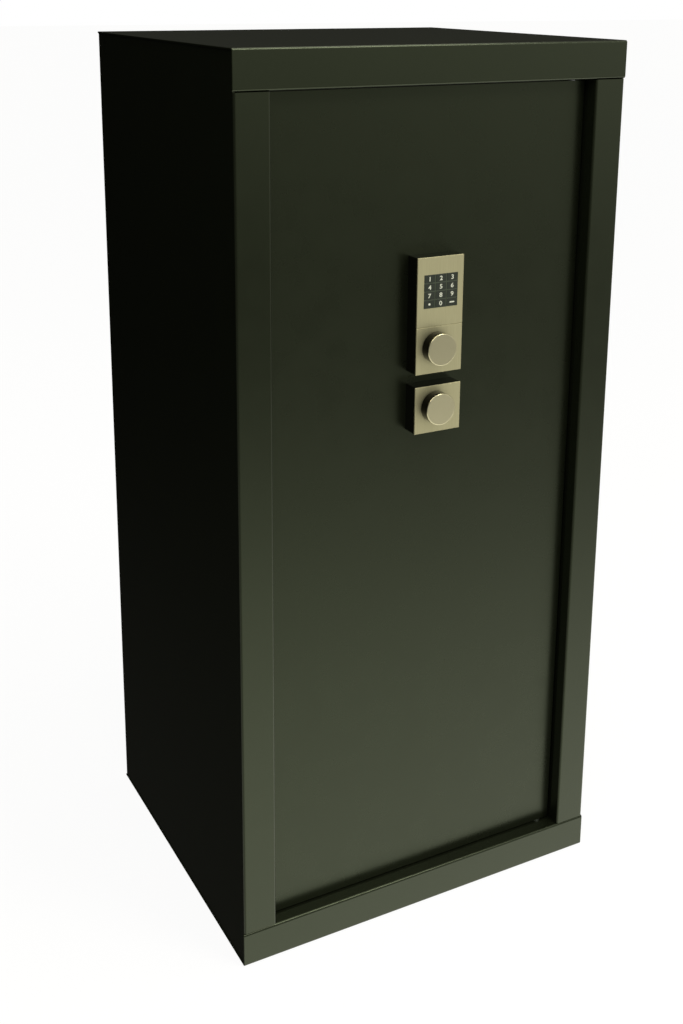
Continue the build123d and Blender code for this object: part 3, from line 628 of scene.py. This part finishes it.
def felt_face(width, height, holes):
    """A width by height grid with waves as its third value, and round holes cut to their circles."""
    columns = round(width / FELT_CELL) + 1
    rows = round(height / FELT_CELL) + 1
    x, y = np.meshgrid(
        np.linspace(-width / 2, width / 2, columns), np.linspace(-height / 2, height / 2, rows))
    points = np.column_stack([x.ravel(), y.ravel()])
    quads = grid_quads(rows, columns)
    for centre in holes:
        offset = points - centre
        distance = np.linalg.norm(offset, axis=1)
        near = distance < HOLE_R
        quads = quads[~near[quads].all(axis=1)]
        pulled = near & (distance > 0)
        points[pulled] = centre + offset[pulled] * (HOLE_R / distance[pulled])[:, None]
    used, quads = np.unique(quads, return_inverse=True)
    points = points[used]
    edge = np.minimum(width / 2 - abs(points[:, 0]), height / 2 - abs(points[:, 1]))
    lift = FELT_WAVE * felt_waves(*points.T) * np.clip(edge / FLAT_EDGE, 0, 1)
    return np.column_stack([points, lift]), quads.reshape(-1, 4)


def felt_board(name, middle, across, up, size, stands_for=(), holes=()):
    """A felt face set at middle, its sides along across and up, thickened away from the room."""
    flat, quads = felt_face(*size, np.array(holes).reshape(-1, 2))
    across, up = np.array(across), np.array(up)
    axes = np.array([across, up, np.cross(across, up)])
    piece = add_piece(
        name, np.array(middle) + flat @ axes, quads.tolist(), grey_felt, "cabinet",
        stands_for=stands_for)
    board = piece.modifiers.new("board", "SOLIDIFY")
    board.thickness = FELT_T - 2 * FELT_WAVE
    board.offset = -1
    finish_edges(piece, FELT_EDGE)
    return piece


print("a felt board is", FELT_T * 1000, "mm thick")

# %% Wall linings
BACK_GAP = 0.0005
ANCHOR_X = 0.200
ANCHOR_Z = (0.250, 1.150)
liner_low, liner_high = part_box("wall_liners")
liner_mid_z = (liner_low.z + liner_high.z) / 2
liner_h = liner_high.z - liner_low.z
side_front, side_back = liner_low.y, liner_high.y - FELT_T - BACK_GAP
side_mid = (side_front + side_back) / 2
side_size = (side_back - side_front, liner_h)
felt_left = felt_board(
    "felt_left", (liner_low.x + FELT_T, side_mid, liner_mid_z), (0, 1, 0), (0, 0, 1), side_size)
felt_right = felt_board(
    "felt_right", (liner_high.x - FELT_T, side_mid, liner_mid_z), (0, -1, 0), (0, 0, 1), side_size)
felt_back = felt_board(
    "felt_back", (0, liner_high.y - FELT_T, liner_mid_z), (1, 0, 0), (0, 0, 1),
    (liner_high.x - liner_low.x, liner_h),
    holes=[(x, z - liner_mid_z) for x in (-ANCHOR_X, ANCHOR_X) for z in ANCHOR_Z])
for board in (felt_left, felt_right, felt_back):
    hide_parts("wall_liners")
print("linings are", round(liner_h, 3), "m high")

# %% Floor mat
ANCHOR_Y = 0.150
mat_low, mat_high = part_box("floor_mat")
mat_mid_y = (mat_low.y + mat_high.y) / 2
felt_board(
    "felt_floor", (0, mat_mid_y, mat_high.z), (1, 0, 0), (0, 1, 0),
    (mat_high.x - mat_low.x, mat_high.y - mat_low.y), ["floor_mat"],
    [(x, y - mat_mid_y) for x in (-ANCHOR_X, ANCHOR_X) for y in (-ANCHOR_Y, ANCHOR_Y)])

# %% [markdown]
# ## The wrapped shelf
# The shelf is a board with felt wrapped round its front and back edges. Its section is a
# superellipse with a high power, which is a rectangle with soft corners, and that section is
# carried from wall to wall. It shrinks a little at each end, where the felt is tucked in, and a
# flat cap closes it.

# %% Shelf
SHELF_POWER = 24
SHELF_STEPS = 96
SHELF_COLUMNS = 60
TUCK_FROM = 0.9985
TUCKED_GIRTH = 0.9
SHELF_WAVE = 0.012


def wrapped_board(name, node, finish):
    """A superellipse section in y and z carried along x, drawn in a little at both ends."""
    low, high = (np.array(corner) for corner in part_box(node))
    middle, half = (low + high) / 2, (high - low) / 2
    section_y, section_z = superellipse(SHELF_STEPS, SHELF_POWER)
    between_ends = np.linspace(-1, 1, SHELF_COLUMNS)[1:-1]
    along = np.concatenate([[-1, -TUCK_FROM], between_ends, [TUCK_FROM, 1]])
    girth = np.concatenate([[TUCKED_GIRTH, 1], np.ones(len(between_ends)), [1, TUCKED_GIRTH]])
    girth_y = 1 - (1 - girth) * half[2] / half[1]
    x = np.repeat(middle[0] + half[0] * along, SHELF_STEPS)
    wave = 1 - SHELF_WAVE * (1 + np.sin(41 * x) * np.cos(13 * x)) / 2
    y = middle[1] + half[1] * np.outer(girth_y, section_y).ravel()
    z = middle[2] + half[2] * wave * np.outer(girth, section_z).ravel()
    points = np.column_stack([x, y, z])
    add_piece(name, points, skin(points, SHELF_STEPS), finish, "cabinet", stands_for=[node])


wrapped_board("felt_shelf", "shelf", grey_felt)

# %% [markdown]
# ## The barrel rest
# A strip of stiff foam is glued along the shelf's front edge, with round bites in which barrels
# lean. Its plan is worked out as two curves over x: a straight back, and a front that steps in at
# each bite and follows the circle. Points on a bite are spaced evenly round its half circle, and a
# bevel eases the cut edges as a hot wire does.

# %% Foam barrel rest
NOTCHES = 7
NOTCH_R = 0.017
NOTCH_PITCH = 0.084
NOTCH_DEEP = 0.004
NOTCH_STEPS = 19
FOAM_EDGE = 0.0022


def rest_front(low, high):
    """The strip's front edge as x and y: straight runs, and a half circle for each bite."""
    half_turn = np.linspace(math.pi, 0, NOTCH_STEPS)
    bite_x = np.concatenate([[-NOTCH_R], NOTCH_R * np.cos(half_turn), [NOTCH_R]])
    bite_y = np.concatenate([[0], NOTCH_DEEP + NOTCH_R * np.sin(half_turn), [0]])
    centres = (np.arange(NOTCHES) - NOTCHES // 2) * NOTCH_PITCH
    x = (centres[:, None] + bite_x).ravel()
    y = np.tile(low[1] + bite_y, NOTCHES)
    return np.concatenate([[low[0]], x, [high[0]]]), np.concatenate([[low[1]], y, [low[1]]])


def foam_strip(name, node):
    """A skin between the front curve and a straight back: top, front, underside and back in turn."""
    low, high = (np.array(corner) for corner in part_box(node))
    x, front = rest_front(low, high)
    back = np.full(len(x), high[1])
    loops = [(front, high[2]), (front, low[2]), (back, low[2]), (back, high[2])]
    rows = np.stack([np.column_stack([x, y, np.full(len(x), z)]) for y, z in loops], axis=1)
    points = rows.reshape(-1, 3)
    strip = add_piece(
        name, points, skin(points, len(loops)), black_foam, "cabinet", smooth=False,
        stands_for=[node])
    finish_edges(strip, FOAM_EDGE, segments=3)
    return strip


rest_foam = foam_strip("rest_foam", "barrel_rest")

# %% [markdown]
# ## The door seal
# A soft rubber seal runs round three sides behind the door's edge. Its section is a D whose round
# side faces the door. The section is carried along the path and mitred at the corners, where the
# path turns.

# %% Door seal
SEAL_W = 0.008
SEAL_STEPS = 15


def d_seal(name, node):
    """Half-ellipse section swept round three sides: SEAL_W wide, and as proud in -y as the node."""
    low, high = (np.array(corner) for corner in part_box(node))
    turn = np.linspace(0, math.pi, SEAL_STEPS)
    round_inset = SEAL_W / 2 * (1 - np.cos(turn))
    round_proud = (high[1] - low[1]) * np.sin(turn)
    inset = np.concatenate([round_inset, [SEAL_W * 0.66, SEAL_W * 0.33]])
    proud = np.concatenate([round_proud, [0, 0]])
    corners = [
        (high[0], low[2], 0, 1), (low[0], low[2], 1, 1), (low[0], high[2], 1, -1),
        (high[0], high[2], 0, -1)]
    points = np.concatenate([
        np.column_stack([x + side * inset, high[1] - proud, z + up * inset])
        for x, z, side, up in corners])
    add_piece(
        name, points, skin(points, len(inset)), black_rubber, "cabinet",
        stands_for=[node])


d_seal("d_seal", "door_seal")

# %% [markdown]
# ## Floor and light
# The safe stands on a plain pale floor in a soft studio. Enamel this dark shows little but the
# room: a bright floor in front lights the lower door, a dimmer wall higher up keeps the top dark,
# and two black flags behind leave the side and the tops of the lock units nearly black. The world
# gives that room to every ray but the camera's, which sees plain white.

# %% Floor
FLOOR_HALF = 40
FLOOR_Z = -0.0005
FLOOR_GLOW = 0.93
FLOOR_CLOUD_MM = 1500
floor_material, floor_tree, floor_shader = start_finish(
    "pale_studio_floor", Roughness=0.9, Emission_Color=colour("#ffffff"),
    Emission_Strength=FLOOR_GLOW)
floor_point = add_node(floor_tree, "TexCoord", output="Object")
floor_cloud = add_node(
    floor_tree, "TexNoise",
    {"Vector": floor_point, "Scale": per_mm(FLOOR_CLOUD_MM), "Detail": 3.0})
floor_shades = add_node(
    floor_tree, "Mix", {0: floor_cloud, 6: colour("#5a5a59"), 7: colour("#555554")}, 2,
    data_type="RGBA")
link_patterns(floor_tree, floor_shader, Base_Color=floor_shades)
floor_mesh = bpy.data.meshes.new("floor")
floor_signs = ((-1, -1), (1, -1), (1, 1), (-1, 1))
floor_corners = [(x * FLOOR_HALF, y * FLOOR_HALF, FLOOR_Z) for x, y in floor_signs]
floor_mesh.from_pydata(floor_corners, [], [(0, 1, 2, 3)])
floor_mesh.materials.append(floor_material)
floor = add_object("floor", floor_mesh)
floor.visible_glossy = False
floor.visible_diffuse = False
print("floor", floor.dimensions[:])

# %% [markdown]
# ### The room that the gloss sees
# Each part of the room is a soft shape on the sphere of directions: a lobe is a cone round an aim,
# full inside the inner angle and gone at the outer one, both in degrees, and the floor and the wall
# rise with the tilt of the ray. Each part then adds its share to a little light from everywhere, and
# each flag leaves only a share of what lies behind it.

# %% World
FRONT = ((0.55, -0.75, -0.35), 20, 75)
SIDE_WALL = ((1, -0.2, 0.1), 30, 60)
CEILING = ((0, -0.3, 1), 10, 80)
FLOOR_TILT = (-0.24, -0.60)
WALL_TILT = (-0.25, 0.0)
FLOOR_LEVEL = 1.55
FLOOR_BEHIND = 0.4
WALL_LEVEL = 0.5
SIDE_LEVEL = 0.3
CEILING_LEVEL = 0.3
EVERYWHERE = 0.10
FLAGS = (((-0.35, 0.87, -0.3), 28, 38, 0.03), ((0.48, 0.83, 0.2), 22, 32, 0.27))

world = bpy.data.worlds.new("studio")
bpy.context.scene.world = world
world.use_nodes = True
room = world.node_tree
direction = add_node(room, "TexCoord", output="Generated")
tilt = add_node(room, "SeparateXYZ", {"Vector": direction}, "Z")


def lobe(aim, inner, outer):
    """1 inside a cone round the aim, falling smoothly to 0 at the outer cone."""
    towards = tuple(Vector(aim).normalized())
    along = add_node(
        room, "VectorMath", {0: direction, 1: towards}, "Value", operation="DOT_PRODUCT")
    return add_node(room, "MapRange", {
        "Value": along, "From Min": math.cos(math.radians(outer)),
        "From Max": math.cos(math.radians(inner))}, interpolation_type="SMOOTHSTEP")


in_front, side_wall, ceiling = lobe(*FRONT), lobe(*SIDE_WALL), lobe(*CEILING)
floor_rise, wall_rise = (
    add_node(
        room, "MapRange",
        {"Value": tilt, "From Min": span[0], "From Max": span[1], "To Max": level},
        interpolation_type="SMOOTHSTEP")
    for span, level in ((FLOOR_TILT, FLOOR_LEVEL), (WALL_TILT, WALL_LEVEL)))
front_share = add_node(
    room, "MapRange", {"Value": in_front, "To Min": FLOOR_BEHIND, "To Max": 1.0})
floor_glow = add_node(room, "Math", {0: floor_rise, 1: front_share}, operation="MULTIPLY")
front_wall = add_node(room, "Math", {0: wall_rise, 1: in_front}, operation="MULTIPLY")
print("room shapes", len(room.nodes), "nodes")

# %% World strength and tint
light_level = EVERYWHERE
for glow, share in (
        (floor_glow, 1.0), (side_wall, SIDE_LEVEL), (ceiling, CEILING_LEVEL), (front_wall, 1.0)):
    light_level = add_node(
        room, "Math", {0: glow, 1: share, 2: light_level}, operation="MULTIPLY_ADD")
for aim, inner, outer, left in FLAGS:
    kept = add_node(
        room, "MapRange", {"Value": lobe(aim, inner, outer), "To Min": 1.0, "To Max": left})
    light_level = add_node(room, "Math", {0: light_level, 1: kept}, operation="MULTIPLY")
seen = add_node(room, "LightPath", output="Is Camera Ray")
strength = add_node(room, "Mix", {0: seen, 2: light_level, 3: 1.0}, data_type="FLOAT")
tint = add_node(
    room, "Mix", {0: seen, 6: colour("#fffdf2"), 7: colour("#ffffff")}, 2, data_type="RGBA")
background = room.nodes["Background"]
room.links.new(tint, background.inputs["Color"])
room.links.new(strength, background.inputs["Strength"])
print("world nodes", len(room.nodes))

# %% [markdown]
# Three soft lamps shape the forms: a key high on the right, a small panel high on the left that
# lights the bevels of the knobs, and an overhead panel that catches the folded edges of the roof.

# %% Lamps
LAMP_SHADE = "#fffaf0"


def soft_lamp(name, place, aim, size, power):
    """A rectangular area lamp at a place, turned to face an aim."""
    data = bpy.data.lights.new(name, "AREA")
    data.shape = "RECTANGLE"
    data.size, data.size_y = size
    data.energy = power
    data.color = colour(LAMP_SHADE)[:3]
    lamp = add_object(name, data)
    lamp.location = place
    lamp.rotation_euler = (Vector(aim) - Vector(place)).to_track_quat("-Z", "Y").to_euler()


soft_lamp("key", place=(1.5, -2.7, 3.6), aim=(0, 0, 0.8), size=(1.4, 1.2), power=50)
soft_lamp("strip", place=(-1.3, -1.8, 2.8), aim=(0, -0.2, 0.9), size=(0.8, 1.2), power=12)
soft_lamp("overhead", place=(0.2, -0.6, 3.4), aim=(0, -0.1, 1.2), size=(2.6, 1.2), power=30)
bpy.context.scene.view_settings.view_transform = "Standard"
